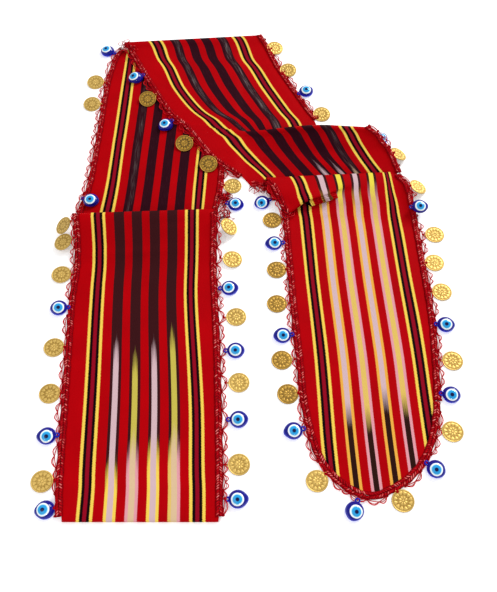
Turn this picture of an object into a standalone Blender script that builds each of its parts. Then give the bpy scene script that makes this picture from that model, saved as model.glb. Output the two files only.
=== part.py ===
"""A long striped satin headband scarf, folded flat, edged with crochet, coins and glass beads.

The scarf is one strip of cloth. It lies in five stretches that show, joined by three
pleats and one fold. Each stretch is a wall of cloth lofted through a short table of rows.
All tables are in millimetres, with +X to the right, +Y away from the front and +Z up.
"""
import math
from collections import namedtuple

import bpy
import bmesh
from mathutils import Vector

MM = 0.001

CLOTH = 1.2            # thickness of the cloth wall
SEAM = 0.3             # clearance between neighbouring pieces
REST = CLOTH / 2       # middle of a wall that lies on the surface
OVER_BACK = 2.4        # middle of a wall that lies on the back panel
CLIMB_ENDS, CLIMB_SPAN = -3.0, 15.0    # east of this, and over this length, it comes down
WELD = 0.001           # points nearer than this are one
SMOOTH_ANGLE = 40      # degrees; sharper edges stay sharp

BRAID_WIDE = 4.0       # crochet band along the cloth's edge
BRAID_THICK = 1.2
BRAID_LIFT = 0.2       # the band's middle above the cloth's middle
LOOP_PITCH = 22.0      # length of one crochet loop along the band
LOOP_REACH = 4.6       # how far a loop stands out from the band
LOOP_CORD = 1.3
LOOP_MARKS = (0.0, 0.14, 0.38, 0.62, 0.86, 1.0)    # corners of a loop, as shares of its length
LOOP_SHOULDER = 0.55   # share of the reach where a loop turns towards its crown
TURN_RUN = 4.0         # an edge's direction is averaged over this much each way

COIN_ACROSS = 20.0
COIN_THICK = 0.8
COIN_SIDES = 12
COIN_LINK = 1.8        # width of the link that holds a coin
BEAD_ACROSS = 16.6
BEAD_SIDES = 10
BEAD_PROFILE = [(0.0, 0.86), (2.2, 1.0), (4.4, 0.96), (7.4, 0.5)]  # height, share of radius
LUG_TAPER = 0.5
LOOP_CLEAR = 7.0       # loops this near a bead are left off
LAYER_GAP = 0.8        # groove between two layers at a pleat's end
LAYER_PITCH = 3.6
LAYER_DEEP = 2.5
LAYER_COVER = 1.8      # least cloth left above a groove

Row = namedtuple("Row", "west_x west_y west_z east_x east_y east_z")
Pleat = namedtuple("Pleat", "west_x west_y east_x east_y lift_y lift_z")
Coin = namedtuple("Coin", "along out drop")
Bead = namedtuple("Bead", "along out base")

# From the end that is turned under, over the pleat's ridge, to the layer below it.
LEFT_PANEL = [
    Row(-162.0, -275.0, REST, -28.0, -275.0, REST),
    Row(-162.0, -295.5, REST, -28.0, -295.5, REST),
    Row(-162.0, -299.4, 1.9, -28.0, -299.4, 1.9),
    Row(-162.5, -295.5, 3.2, -27.5, -295.5, 3.2),
    Row(-165.5, -272.0, 2.6, -28.0, -272.0, 2.6),
    Row(-167.5, -250.0, REST, -28.5, -250.0, REST),
    Row(-170.5, -197.0, REST, -30.5, -197.0, REST),
    Row(-174.0, -136.0, REST, -33.0, -136.0, REST),
    Row(-177.0, -80.0, REST, -36.5, -80.0, REST),
    Row(-176.0, -45.0, 1.8, -38.5, -45.0, 1.8),
    Row(-176.5, -26.0, 6.0, -38.5, -25.0, 6.0),
    Row(-177.5, -12.0, 11.0, -38.5, -9.0, 11.0),
    Row(-179.0, 1.0, 16.0, -38.5, 5.0, 16.0),
    Row(-180.0, 10.0, 18.4, -39.0, 15.0, 18.4),
    Row(-180.5, 14.5, 17.6, -39.0, 20.0, 17.6),
    Row(-180.5, 16.0, 14.8, -39.0, 21.5, 14.8),
    Row(-180.5, 13.5, 12.2, -39.0, 19.0, 12.2),
    Row(-180.5, 6.0, 11.0, -39.0, 11.0, 11.0),
]

BACK_PANEL = [
    Row(-187.0, 1.4, REST, -43.5, 5.5, REST),
    Row(-181.0, 34.0, REST, -38.5, 37.0, REST),
    Row(-175.5, 65.0, REST, -34.5, 66.0, REST),
    Row(-173.5, 105.0, REST, -33.0, 105.0, REST),
    Row(-172.0, 150.0, REST, -31.0, 150.0, REST),
    Row(-171.0, 200.0, REST, -28.0, 200.0, REST),
    Row(-168.5, 235.0, REST, -26.0, 236.0, REST),
    Row(-163.5, 264.0, REST, -24.0, 268.0, REST),
    Row(-157.5, 278.0, REST, -22.0, 288.5, REST),
]

# From the layer under the fold, over the fold, down to the pleat of the bridge.
TOP_PANEL = [
    Row(-151.0, 279.5, REST, 8.0, 292.0, REST),
    Row(-152.0, 285.5, 1.0, 8.0, 297.5, 1.0),
    Row(-152.5, 287.8, 3.4, 8.0, 300.0, 3.4),
    Row(-152.0, 285.5, 5.8, 9.0, 297.6, 5.8),
    Row(-150.0, 281.5, 6.2, 12.0, 291.5, 6.0),
    Row(-146.0, 275.5, 4.4, 18.0, 281.0, 3.6),
    Row(-138.0, 259.0, OVER_BACK, 26.0, 261.5, 1.2),
    Row(-129.0, 241.5, OVER_BACK, 33.0, 244.0, REST),
    Row(-112.0, 208.0, OVER_BACK, 49.0, 210.0, REST),
    Row(-94.0, 175.5, OVER_BACK, 65.0, 177.5, REST),
    Row(-81.0, 160.0, OVER_BACK, 74.5, 161.0, REST),
    Row(-71.4, 150.5, OVER_BACK, 84.0, 137.6, REST),
]

# The bridge starts in its pleat. The lift grows from nothing at the west to full at the east.
BRIDGE_PANEL = [
    Pleat(-71.0, 149.9, 122.0, 131.6, -6.5, 4.6),
    Pleat(-70.3, 148.7, 125.0, 131.4, -2.5, 5.8),
    Pleat(-69.6, 147.5, 126.0, 131.2, 1.0, 9.3),
    Pleat(-68.8, 146.3, 127.0, 130.8, 3.0, 14.5),
    Pleat(-68.0, 145.0, 127.5, 130.4, 2.0, 19.6),
    Pleat(-66.8, 143.2, 128.5, 129.6, -1.0, 23.0),
    Pleat(-65.2, 140.6, 131.0, 127.0, -1.5, 23.6),
    Pleat(-62.0, 136.0, 138.5, 121.0, 0.0, 20.8),
    Pleat(-54.5, 124.5, 145.0, 113.0, 0.0, 16.6),
    Pleat(-46.5, 113.0, 152.0, 105.0, 0.0, 12.6),
    Pleat(-38.5, 102.0, 156.5, 96.0, 0.0, 9.2),
    Pleat(-24.0, 90.0, 160.0, 87.0, 0.0, 6.0),
    Pleat(-9.0, 77.0, 162.8, 78.5, 0.0, 3.4),
    Pleat(1.0, 64.0, 164.0, 71.0, 0.0, 1.8),
]
LIFT_STARTS, LIFT_SPAN = 0.17, 0.64

# From the layer under the pleat, over its ridge, to the round end.
RIGHT_PANEL = [
    Row(17.0, 59.5, 2.6, 154.0, 67.0, 4.3),
    Row(17.0, 66.0, 3.6, 153.5, 73.5, 5.2),
    Row(17.0, 69.0, 7.2, 153.0, 76.5, 8.2),
    Row(17.5, 67.5, 10.8, 154.0, 75.0, 11.0),
    Row(20.0, 63.0, 12.2, 158.0, 70.0, 12.2),
    Row(26.5, 56.0, 12.2, 166.0, 60.5, 11.6),
    Row(30.5, 48.0, 11.2, 170.0, 49.5, 9.0),
    Row(33.5, 40.5, 8.8, 171.5, 40.5, 6.6),
    Row(36.0, 34.0, 4.6, 172.7, 32.0, 4.4),
    Row(38.5, 27.0, 1.6, 173.7, 23.0, 2.4),
    Row(39.6, 18.5, REST, 174.5, 10.0, REST),
    Row(40.8, -12.0, REST, 175.5, -14.0, REST),
    Row(43.0, -56.0, REST, 177.0, -56.0, REST),
    Row(45.5, -103.0, REST, 178.0, -101.0, REST),
    Row(48.5, -146.0, REST, 176.0, -146.0, REST),
    Row(51.0, -188.0, REST, 172.5, -188.0, REST),
    Row(57.0, -223.0, REST, 164.0, -223.0, REST),
    Row(64.5, -245.0, REST, 153.0, -245.0, REST),
    Row(76.5, -261.0, REST, 138.0, -261.0, REST),
    Row(88.0, -270.0, REST, 123.0, -270.0, REST),
    Row(96.0, -274.0, REST, 114.0, -274.0, REST),
    Row(103.5, -275.8, REST, 107.0, -275.8, REST),
]

# What hangs from each run of edging: coins, then beads. "along" runs with the edge, "out" is
# the distance of the middle from the cloth, "drop" lowers a coin and "base" lifts a bead.
LEFT_WEST = (
    [Coin(33, 17.5, 0), Coin(116, 17, 0), Coin(164, 16.5, 0), Coin(245, 17.5, 0),
     Coin(286, 18, -5), Coin(307, 17.5, -10)],
    [Bead(8, 14.2, 0), Bead(74, 16, 0), Bead(207, 14.4, 0)])
LEFT_EAST = (
    [Coin(46, 18, 0), Coin(125, 20.5, 0), Coin(195, 21, 0), Coin(264, 20, -2),
     Coin(303, 16, -9)],
    [Bead(15, 16.5, 0), Bead(88, 19, 0), Bead(158, 18.5, 0), Bead(228, 16, 0)])
BACK_WEST = (
    [Coin(152, 15.5, 0), Coin(187, 16.5, 0)],
    [Bead(10, -6.5, 1.7), Bead(236, 15.5, 0)])
BACK_EAST = ([Coin(29, 15, 0)], [Bead(5, 22, 0)])
TOP_WEST = (
    [Coin(98, 16, 0), Coin(180, 18, 0), Coin(218, 12.5, 0)],
    [Bead(59, 14.2, 1.5), Bead(140, 18, 1.5)])
TOP_EAST = (
    [Coin(26, 11, -1), Coin(67, 11, 0), Coin(149, 12, 0)],
    [Bead(108, 14.2, 0)])
BRIDGE_EAST = ([Coin(42, 12.5, -5)], [Bead(14, 15, 0)])
RIGHT_WEST = (
    [Coin(54, 16.5, 0), Coin(114, 15.5, 0), Coin(154, 18, 0), Coin(216, 18.5, 0),
     Coin(251, 15.5, 0)],
    [Bead(18, 19, 0), Bead(82, 16, 0), Bead(190, 15.5, 0)])
RIGHT_TIP = (
    [Coin(70, 15.5, 0), Coin(134, 14.5, 0), Coin(205, 18, 0)],
    [Bead(27, 16.5, 0), Bead(102, 17.5, 0), Bead(170, 14.2, 0)])
RIGHT_EAST = (
    [Coin(42, 18, 0), Coin(117, 16, 0), Coin(152, 14, 0), Coin(187, 20, 0),
     Coin(245, 16, -6)],
    [Bead(7, 14.2, 0), Bead(80, 14.2, 0), Bead(218, 8, 6.9)])


def smoothstep(value):
    """Ease from 0 to 1."""
    value = min(max(value, 0.0), 1.0)
    return value * value * (3 - 2 * value)


def rest_height(x):
    """Lowest middle of a wall that crosses the back panel's east edge."""
    return REST + (OVER_BACK - REST) * smoothstep((CLIMB_ENDS - x) / CLIMB_SPAN)


def between(rows, steps):
    """Rows of the table with smooth ones worked out between them."""
    finer = []
    last = len(rows) - 1
    for index in range(last):
        before = rows[max(index - 1, 0)]
        start, end = rows[index], rows[index + 1]
        after = rows[min(index + 2, last)]
        for step in range(steps):
            t = step / steps
            finer.append(tuple(
                0.5 * (2 * b + (c - a) * t + (2 * a - 5 * b + 4 * c - d) * t * t
                       + (3 * b - a - 3 * c + d) * t ** 3)
                for a, b, c, d in zip(before, start, end, after)))
    finer.append(tuple(rows[last]))
    return finer


def straight_grid(table, columns, steps, over_back=False):
    """Middle surface of a stretch whose rows run straight across."""
    grid = []
    for row in between(table, steps):
        west, east = Vector(row[:3]), Vector(row[3:])
        points = [west.lerp(east, column / columns) for column in range(columns + 1)]
        for point in points:
            point.z = max(point.z, rest_height(point.x) if over_back else REST)
        grid.append(points)
    return grid


def bridge_grid(columns, steps):
    """Middle surface of the bridge, with its pleat rising towards the east."""
    grid = []
    for west_x, west_y, east_x, east_y, lift_y, lift_z in between(BRIDGE_PANEL, steps):
        points = []
        for column in range(columns + 1):
            across = column / columns
            rise = smoothstep((across - LIFT_STARTS) / LIFT_SPAN)
            x = west_x + (east_x - west_x) * across
            y = west_y + (east_y - west_y) * across + rise * lift_y
            points.append(Vector((x, y, rest_height(x) + rise * max(lift_z, 0.0))))
        grid.append(points)
    return grid


def normals(grid):
    """Upward or outward direction at each point of a grid."""
    result = []
    for r, row in enumerate(grid):
        above, below = grid[min(r + 1, len(grid) - 1)], grid[max(r - 1, 0)]
        line = []
        for c in range(len(row)):
            along = above[c] - below[c]
            across = row[min(c + 1, len(row) - 1)] - row[max(c - 1, 0)]
            line.append(along.cross(across).normalized())
        result.append(line)
    return result


def offset(grid, distance):
    """The grid moved out along its own directions."""
    return [[p + n * distance for p, n in zip(row, line)]
            for row, line in zip(grid, normals(grid))]


def material(name, colour, roughness, metallic=0.0):
    """A plain finish, made once and shared."""
    found = bpy.data.materials.get(name)
    if found:
        return found
    made = bpy.data.materials.new(name)
    made.use_nodes = True
    shader = made.node_tree.nodes["Principled BSDF"]
    shader.inputs["Base Color"].default_value = (*colour, 1.0)
    shader.inputs["Roughness"].default_value = roughness
    shader.inputs["Metallic"].default_value = metallic
    return made


def satin():
    return material("red_satin", (0.50, 0.008, 0.014), 0.45)


def crochet():
    return material("red_crochet", (0.38, 0.010, 0.020), 0.55)


def brass():
    return material("gilt_coin", (0.62, 0.40, 0.09), 0.35, 1.0)


def glass():
    return material("blue_glass", (0.010, 0.030, 0.42), 0.08)


def place(name, bm, finish, smooth=False):
    """Turn millimetre geometry into a named object."""
    bmesh.ops.remove_doubles(bm, verts=bm.verts, dist=WELD)
    bmesh.ops.recalc_face_normals(bm, faces=bm.faces)
    bmesh.ops.scale(bm, verts=bm.verts, vec=(MM, MM, MM))
    mesh = bpy.data.meshes.new(name)
    bm.to_mesh(mesh)
    bm.free()
    mesh.materials.append(finish)
    if smooth:
        mesh.shade_smooth()
        mesh.set_sharp_from_angle(angle=math.radians(SMOOTH_ANGLE))
    made = bpy.data.objects.new(name, mesh)
    bpy.context.scene.collection.objects.link(made)
    made.parent = bpy.data.objects["scarf"]
    return made


def add_closed(bm, top, bottom):
    """Add one closed body between two grids of the same size."""
    upper = [[bm.verts.new(p) for p in row] for row in top]
    lower = [[bm.verts.new(p) for p in row] for row in bottom]
    rows, columns = len(top), len(top[0])
    for r in range(rows - 1):
        for c in range(columns - 1):
            for skin in (upper, lower):
                bm.faces.new((skin[r][c], skin[r][c + 1], skin[r + 1][c + 1], skin[r + 1][c]))
    rim = [(0, c) for c in range(columns)]
    rim += [(r, columns - 1) for r in range(1, rows)]
    rim += [(rows - 1, c) for c in range(columns - 2, -1, -1)]
    rim += [(r, 0) for r in range(rows - 2, 0, -1)]
    for (r0, c0), (r1, c1) in zip(rim, rim[1:] + rim[:1]):
        bm.faces.new((upper[r0][c0], upper[r1][c1], lower[r1][c1], lower[r0][c0]))


def cloth_wall(name, grid):
    """A stretch of cloth, as thick on both sides of its middle."""
    bm = bmesh.new()
    add_closed(bm, offset(grid, CLOTH / 2), offset(grid, -CLOTH / 2))
    place(name, bm, satin(), smooth=True)


def pleat_core(name, grid, first, last, start, end):
    """The hidden layers of a pleat: the space under part of a wall, down to the surface."""
    down = -1 if normals(grid)[first][start].z > 0 else 1
    under = offset(grid, down * (CLOTH / 2 + SEAM))
    top = [row[start:end + 1] for row in under[first:last + 1]]
    base = [[Vector((p.x, p.y, 0.0)) for p in row] for row in top]
    bm = bmesh.new()
    add_closed(bm, top, base)
    core = place(name, bm, satin())
    cut = core.modifiers.new("layers", "BOOLEAN")
    cut.operation = "DIFFERENCE"
    cut.object = layer_slots(name + "_slots", top)


def layer_slots(name, top):
    """Guide that parts the layers where a pleat's ends show, as high as the core reaches."""
    bm = bmesh.new()
    half = LAYER_GAP / 2
    for side, inner in ((0, 1), (-1, -2)):
        height = LAYER_PITCH
        while True:
            tall = [row for row in top if row[side].z > height + LAYER_COVER]
            if len(tall) < 2:
                break
            strip = []
            for row in tall:
                inward = (row[inner] - row[side]).normalized()
                level = Vector((row[side].x, row[side].y, height))
                inward.z = 0.0
                strip.append([level - inward * LAYER_DEEP, level + inward * LAYER_DEEP])
            add_closed(bm, [[p + Vector((0, 0, half)) for p in row] for row in strip],
                       [[p - Vector((0, 0, half)) for p in row] for row in strip])
            height += LAYER_PITCH
    guide = place(name, bm, satin())
    guide.hide_render = True
    guide.display_type = "WIRE"
    return guide


def edge_path(grid, first, last, side):
    """Points along one side of a grid: 0 is the west side and -1 the east."""
    return [row[side].copy() for row in grid[first:last + 1]]


class Edge:
    """A run of cloth edge that carries the crochet band, walked by its length."""

    def __init__(self, points, outward_sign):
        self.points = points
        self.sign = outward_sign
        self.reach = [0.0]
        for a, b in zip(points, points[1:]):
            self.reach.append(self.reach[-1] + (b - a).length)
        self.length = self.reach[-1]

    def at(self, along):
        """Point at a distance along the edge."""
        along = min(max(along, 0.0), self.length)
        index = 0
        while index < len(self.points) - 2 and self.reach[index + 1] < along:
            index += 1
        share = (along - self.reach[index]) / (self.reach[index + 1] - self.reach[index])
        return self.points[index].lerp(self.points[index + 1], share)

    def outward(self, along):
        """Level direction away from the cloth, averaged over a short run."""
        tangent = self.at(along + TURN_RUN) - self.at(along - TURN_RUN)
        return Vector((tangent.y, -tangent.x, 0.0)).normalized() * self.sign

    def out(self, along, distance, rise=0.0):
        """A point in the band's plane at a distance from the cloth."""
        level = Vector((0, 0, BRAID_LIFT + rise))
        return self.at(along) + self.outward(along) * distance + level


def crochet_band(name, edge, bead_points):
    """The crochet band with its row of loops, as one body."""
    bm = bmesh.new()
    known = {}
    half = BRAID_THICK / 2
    outer = SEAM + BRAID_WIDE

    def corner(along, distance, level):
        key = (round(along, 3), round(distance, 3), level)
        if key not in known:
            known[key] = bm.verts.new(edge.out(along, distance, level * half))
        return known[key]

    def plate(*corners):
        """One piece of the band: its face above and its face below."""
        for level in (1, -1):
            bm.faces.new([corner(a, d, level) for a, d in corners])

    loops = max(1, round(edge.length / LOOP_PITCH))
    pitch = edge.length / loops
    for loop in range(loops):
        start = loop * pitch
        marks = [start + share * pitch for share in LOOP_MARKS]
        for a, b in zip(marks, marks[1:]):
            plate((a, SEAM), (b, SEAM), (b, outer), (a, outer))
        crown = edge.out(start + pitch / 2, outer + LOOP_REACH)
        if any((crown - bead).xy.length < BEAD_ACROSS / 2 + LOOP_CLEAR for bead in bead_points):
            continue
        low, high = outer + LOOP_SHOULDER * LOOP_REACH, outer + LOOP_REACH
        plate((marks[0], outer), (marks[1], outer), (marks[1], low))
        plate((marks[1], outer), (marks[2], high - LOOP_CORD), (marks[2], high), (marks[1], low))
        plate((marks[2], high - LOOP_CORD), (marks[3], high - LOOP_CORD),
              (marks[3], high), (marks[2], high))
        plate((marks[3], high - LOOP_CORD), (marks[4], outer), (marks[4], low), (marks[3], high))
        plate((marks[4], outer), (marks[5], outer), (marks[4], low))

    rims = [e for e in bm.edges if len(e.link_faces) == 1]
    upper = {v: k for k, v in known.items() if k[2] == 1}
    for rim in rims:
        a, b = rim.verts
        if a in upper and b in upper:
            below_a = known[(upper[a][0], upper[a][1], -1)]
            below_b = known[(upper[b][0], upper[b][1], -1)]
            bm.faces.new((a, b, below_b, below_a))
    return place(name, bm, crochet())


def hang(edge, along, out, drop):
    """Anchor in the band, centre of the hung piece and the directions of its plane."""
    anchor = edge.out(along, SEAM + BRAID_WIDE / 2)
    centre = edge.out(along, out, drop)
    away = (centre - anchor).normalized()
    side = away.cross(Vector((0, 0, 1))).normalized()
    return anchor, centre, away, side, side.cross(away).normalized()


def coin_guide(name, edge, table):
    """The coins of one edge, each with the link it hangs from."""
    bm = bmesh.new()
    radius = COIN_ACROSS / 2
    opening = math.asin(COIN_LINK / 2 / radius)
    for coin in table:
        anchor, centre, away, side, face = hang(edge, coin.along, coin.out, coin.drop)
        link = (centre - anchor).length
        outline = [-away * link + side * (COIN_LINK / 2)]
        for step in range(COIN_SIDES + 1):
            turn = opening + (2 * math.pi - 2 * opening) * step / COIN_SIDES
            outline.append(-away * radius * math.cos(turn) + side * radius * math.sin(turn))
        outline.append(-away * link - side * (COIN_LINK / 2))
        low = [bm.verts.new(centre + p - face * (COIN_THICK / 2)) for p in outline]
        high = [bm.verts.new(centre + p + face * (COIN_THICK / 2)) for p in outline]
        bm.faces.new(low)
        bm.faces.new(high)
        for index, after in enumerate(list(range(1, len(outline))) + [0]):
            bm.faces.new((low[index], low[after], high[after], high[index]))
    guide = place(name, bm, brass())
    guide.hide_render = True
    guide.display_type = "WIRE"
    return guide


def bead_centre(edge, bead):
    """Where a bead stands, on its flat back."""
    centre = edge.out(bead.along, bead.out)
    centre.z = bead.base
    return centre


def glass_bead(name, edge, bead):
    """A domed glass bead with a flat back and a lug that reaches to the band."""
    centre = bead_centre(edge, bead)
    away = edge.outward(bead.along)
    side = Vector((-away.y, away.x, 0))
    bm = bmesh.new()
    rings = []
    for height, share in BEAD_PROFILE:
        ring = []
        for step in range(BEAD_SIDES):
            turn = 2 * math.pi * (step + 0.5) / BEAD_SIDES
            reach = (side * math.sin(turn) - away * math.cos(turn)) * BEAD_ACROSS / 2 * share
            ring.append(bm.verts.new(centre + reach + Vector((0, 0, height))))
        rings.append(ring)
    bm.faces.new(rings[0])
    bm.faces.new(rings[-1])
    for low, high in zip(rings, rings[1:]):
        for step in range(BEAD_SIDES):
            after = (step + 1) % BEAD_SIDES
            bm.faces.new((low[step], low[after], high[after], high[step]))
    if bead.out > BEAD_ACROSS / 2 + SEAM + BRAID_WIDE + SEAM:
        corners = {rings[1][0], rings[1][-1], rings[2][0], rings[2][-1]}
        facing = [face for face in bm.faces if set(face.verts) == corners]
        lug = bmesh.ops.extrude_discrete_faces(bm, faces=facing)["faces"][0]
        middle = lug.calc_center_median()
        tip = edge.out(bead.along, BRAID_WIDE + 3 * SEAM)
        for corner in lug.verts:
            corner.co = tip + (corner.co - middle) * LUG_TAPER
    place(name, bm, glass(), smooth=True)


def edging(name, edge, coin_table, bead_table):
    """One run of the crochet edging: its band with loops and coins, and its beads."""
    band = crochet_band(name, edge, [bead_centre(edge, bead) for bead in bead_table])
    if coin_table:
        fuse = band.modifiers.new("coins", "BOOLEAN")
        fuse.operation = "UNION"
        fuse.object = coin_guide(name + "_coins", edge, coin_table)
    for index, bead in enumerate(bead_table, 1):
        glass_bead(name.replace("edging", "bead") + "_%d" % index, edge, bead)


def main():
    for existing in list(bpy.data.objects):
        bpy.data.objects.remove(existing)
    scarf = bpy.data.objects.new("scarf", None)
    bpy.context.scene.collection.objects.link(scarf)

    left = straight_grid(LEFT_PANEL, 6, 2)
    back = straight_grid(BACK_PANEL, 6, 1)
    top = straight_grid(TOP_PANEL, 10, 2, over_back=True)
    bridge = bridge_grid(12, 2)
    right = straight_grid(RIGHT_PANEL, 6, 2)
    cloth_wall("panel_left", left)
    cloth_wall("panel_back", back)
    cloth_wall("panel_top", top)
    cloth_wall("panel_bridge", bridge)
    cloth_wall("panel_right", right)

    pleat_core("pleat_left", left, 18, 24, 0, 6)
    pleat_core("pleat_bridge", bridge, 14, 22, 4, 12)
    pleat_core("pleat_right", right, 9, 17, 0, 6)

    tip = edge_path(right, 30, 42, 0) + edge_path(right, 30, 42, -1)[::-1]
    edging("edging_left_west", Edge(edge_path(left, 6, 26, 0), -1), *LEFT_WEST)
    edging("edging_left_east", Edge(edge_path(left, 6, 26, -1), 1), *LEFT_EAST)
    edging("edging_back_west", Edge(edge_path(back, 1, 8, 0), -1), *BACK_WEST)
    edging("edging_back_east", Edge(edge_path(back, 1, 3, -1), 1), *BACK_EAST)
    edging("edging_top_west",
           Edge(edge_path(top, 6, 22, 0) + edge_path(bridge, 0, 24, 0), 1), *TOP_WEST)
    edging("edging_top_east", Edge(edge_path(top, 6, 20, -1), -1), *TOP_EAST)
    edging("edging_bridge_east", Edge(edge_path(bridge, 10, 24, -1), -1), *BRIDGE_EAST)
    edging("edging_right_west", Edge(edge_path(right, 8, 30, 0), 1), *RIGHT_WEST)
    edging("edging_right_tip", Edge(tip, 1), *RIGHT_TIP)
    edging("edging_right_east", Edge(edge_path(right, 8, 30, -1)[::-1], 1), *RIGHT_EAST)


main()
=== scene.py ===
import math

import bpy
import numpy as np
from mathutils import Matrix, Vector


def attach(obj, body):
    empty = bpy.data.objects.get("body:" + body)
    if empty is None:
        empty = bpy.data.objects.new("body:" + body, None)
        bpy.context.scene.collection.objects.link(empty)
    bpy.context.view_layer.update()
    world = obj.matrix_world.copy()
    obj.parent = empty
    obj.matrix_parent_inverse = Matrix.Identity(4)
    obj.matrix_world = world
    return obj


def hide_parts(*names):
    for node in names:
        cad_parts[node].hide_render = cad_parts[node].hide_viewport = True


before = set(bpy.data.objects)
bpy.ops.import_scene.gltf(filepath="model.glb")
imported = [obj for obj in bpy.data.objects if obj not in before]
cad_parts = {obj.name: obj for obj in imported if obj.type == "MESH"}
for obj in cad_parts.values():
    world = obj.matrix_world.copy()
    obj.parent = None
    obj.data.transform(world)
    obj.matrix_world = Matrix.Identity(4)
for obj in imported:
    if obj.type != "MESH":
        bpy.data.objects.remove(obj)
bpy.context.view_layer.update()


# The table under the scarf: a plain white board with a matt finish, lit by big soft lamps
# as in a catalogue picture, and seen from the front, well above it.
class Flow:
    """A socket of a finish. Sums written with it become the finish's own maths."""

    def __init__(self, finish, socket):
        self.finish = finish
        self.socket = socket

    def sum(self, operation, *values):
        return self.finish.node("ShaderNodeMath", {"operation": operation}, dict(enumerate(values)))

    def __add__(self, other):
        return self.sum("ADD", self, other)

    def __sub__(self, other):
        return self.sum("SUBTRACT", self, other)

    def __rsub__(self, other):
        return self.sum("SUBTRACT", other, self)

    def __mul__(self, other):
        return self.sum("MULTIPLY", self, other)

    def __abs__(self):
        return self.sum("ABSOLUTE", self)

    __radd__ = __add__
    __rmul__ = __mul__

    def least(self, other):
        return self.sum("MINIMUM", self, other)

    def wave(self, length, shift=0.0):
        """From 0 to 1 and back once in each length."""
        return self.sum("SINE", self * (math.tau / length) + shift) * 0.5 + 0.5

    def ease(self, start, end):
        """0 before start, 1 after end and smooth between them."""
        return self.finish.node("ShaderNodeMapRange", {"interpolation_type": "SMOOTHSTEP"},
                                {0: self, 1: start, 2: end, 3: 0.0, 4: 1.0})

    def band(self, centre, half, soft=0.18):
        """1 within half of centre."""
        return abs(self - centre).ease(half + soft, half - soft)


class Finish:
    """A finish that is being mixed. node() adds one node of any type."""

    def __init__(self, name, **constants):
        self.made = bpy.data.materials.new(name)
        self.made.use_nodes = True
        self.nodes = self.made.node_tree.nodes
        self.links = self.made.node_tree.links
        self.shader = self.nodes["Principled BSDF"]
        self.paint(**constants)

    def feed(self, socket, value):
        if isinstance(value, Flow):
            self.links.new(value.socket, socket)
        else:
            socket.default_value = value

    def node(self, kind, settings=None, inputs=None, output=0):
        made = self.nodes.new(kind)
        for key, value in (settings or {}).items():
            if key == "stops":
                ramp = made.color_ramp
                while len(ramp.elements) < len(value):
                    ramp.elements.new(1.0)
                for stop, (place, colour) in zip(ramp.elements, value):
                    stop.position = place
                    stop.color = colour
            else:
                setattr(made, key, value)
        for key, value in (inputs or {}).items():
            self.feed(made.inputs[key], value)
        if isinstance(output, tuple):
            return [Flow(self, made.outputs[key]) for key in output]
        return Flow(self, made.outputs[output])

    def lay(self):
        """Where a point is on the flat cloth or stamp, as its piece keeps it."""
        lay = self.node("ShaderNodeAttribute", {"attribute_name": "lay"}, output="Vector")
        return self.node("ShaderNodeSeparateXYZ", None, {0: lay}, output=(0, 1, 2))

    def mix(self, below, above, share):
        return self.node("ShaderNodeMix", {"data_type": "RGBA"}, {0: share, 6: below, 7: above}, 2)

    def speckle(self, place, size, detail=2.0):
        """Cloudy noise whose patches are about this size."""
        return self.node("ShaderNodeTexNoise", None,
                         {"Vector": place, "Scale": 1.0 / size, "Detail": detail})

    def vector(self, x, y, z=0.0):
        return self.node("ShaderNodeCombineXYZ", None, {0: x, 1: y, 2: z})

    def paint(self, **values):
        for socket, value in values.items():
            self.feed(self.shader.inputs[socket.replace("_", " ")], value)

    def relief(self, height, deep):
        """Raise the surface by height, which is 0 to 1, times deep metres."""
        bump = self.node("ShaderNodeBump", None, {"Height": height, "Distance": deep, "Strength": 1.0})
        self.feed(self.shader.inputs["Normal"], bump)


def tint(red, green, blue):
    """A colour as a printed shade card gives it, 0 to 255."""
    shades = [value / 255 for value in (red, green, blue)]
    return (*[s / 12.92 if s <= 0.04045 else ((s + 0.055) / 1.055) ** 2.4 for s in shades], 1.0)


scene = bpy.context.scene


def in_scene(name, data):
    made = bpy.data.objects.new(name, data)
    scene.collection.objects.link(made)
    return made


board = Finish("white_board", Roughness=0.85)
grain = board.speckle(board.node("ShaderNodeTexCoord", output="Object"), 0.002)
board.paint(Base_Color=board.mix(tint(246, 246, 247), tint(250, 250, 250), grain))
board.paint(Emission_Color=(1.0, 1.0, 1.0, 1.0), Emission_Strength=0.25)
table_mesh = bpy.data.meshes.new("table_top")
table_mesh.from_pydata([(-4, -4, -0.0002), (4, -4, -0.0002), (4, 4, -0.0002), (-4, 4, -0.0002)],
                       [], [(0, 1, 2, 3)])
table_mesh.materials.append(board.made)
table_top = in_scene("table_top", table_mesh)

air = bpy.data.worlds.new("studio_air")
air.use_nodes = True
glow = air.node_tree.nodes["Background"].inputs
glow["Color"].default_value = (1.0, 1.0, 1.0, 1.0)
glow["Strength"].default_value = 0.6
scene.world = air
for name, place, size, watts in (
        ("lamp_behind", (1.7, 2.1, 2.1), 1.3, 96.0),
        ("lamp_front", (-0.9, -0.7, 1.5), 1.2, 6.0),
        ("small_lamp_left", (-0.5, -1.0, 0.9), 0.07, 1.6),
        ("small_lamp_right", (0.25, -1.1, 0.9), 0.07, 1.6)):
    lamp = bpy.data.lights.new(name, "AREA")
    lamp.size = size
    lamp.energy = watts
    holder = in_scene(name, lamp)
    holder.location = place
    holder.rotation_euler = Vector(place).to_track_quat("Z", "Y").to_euler()

camera = bpy.data.cameras.new("catalogue_camera")
camera.sensor_width = 36.0
camera.lens = 748 / 592 * 36.0
camera.clip_start = 0.05
viewer = in_scene("catalogue_camera", camera)
viewer.location = (-0.002, -0.4525, 0.65385)
viewer.rotation_euler = (math.radians(30.0), 0.0, 0.0)
scene.camera = viewer
scene.view_settings.view_transform = "Standard"


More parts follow.
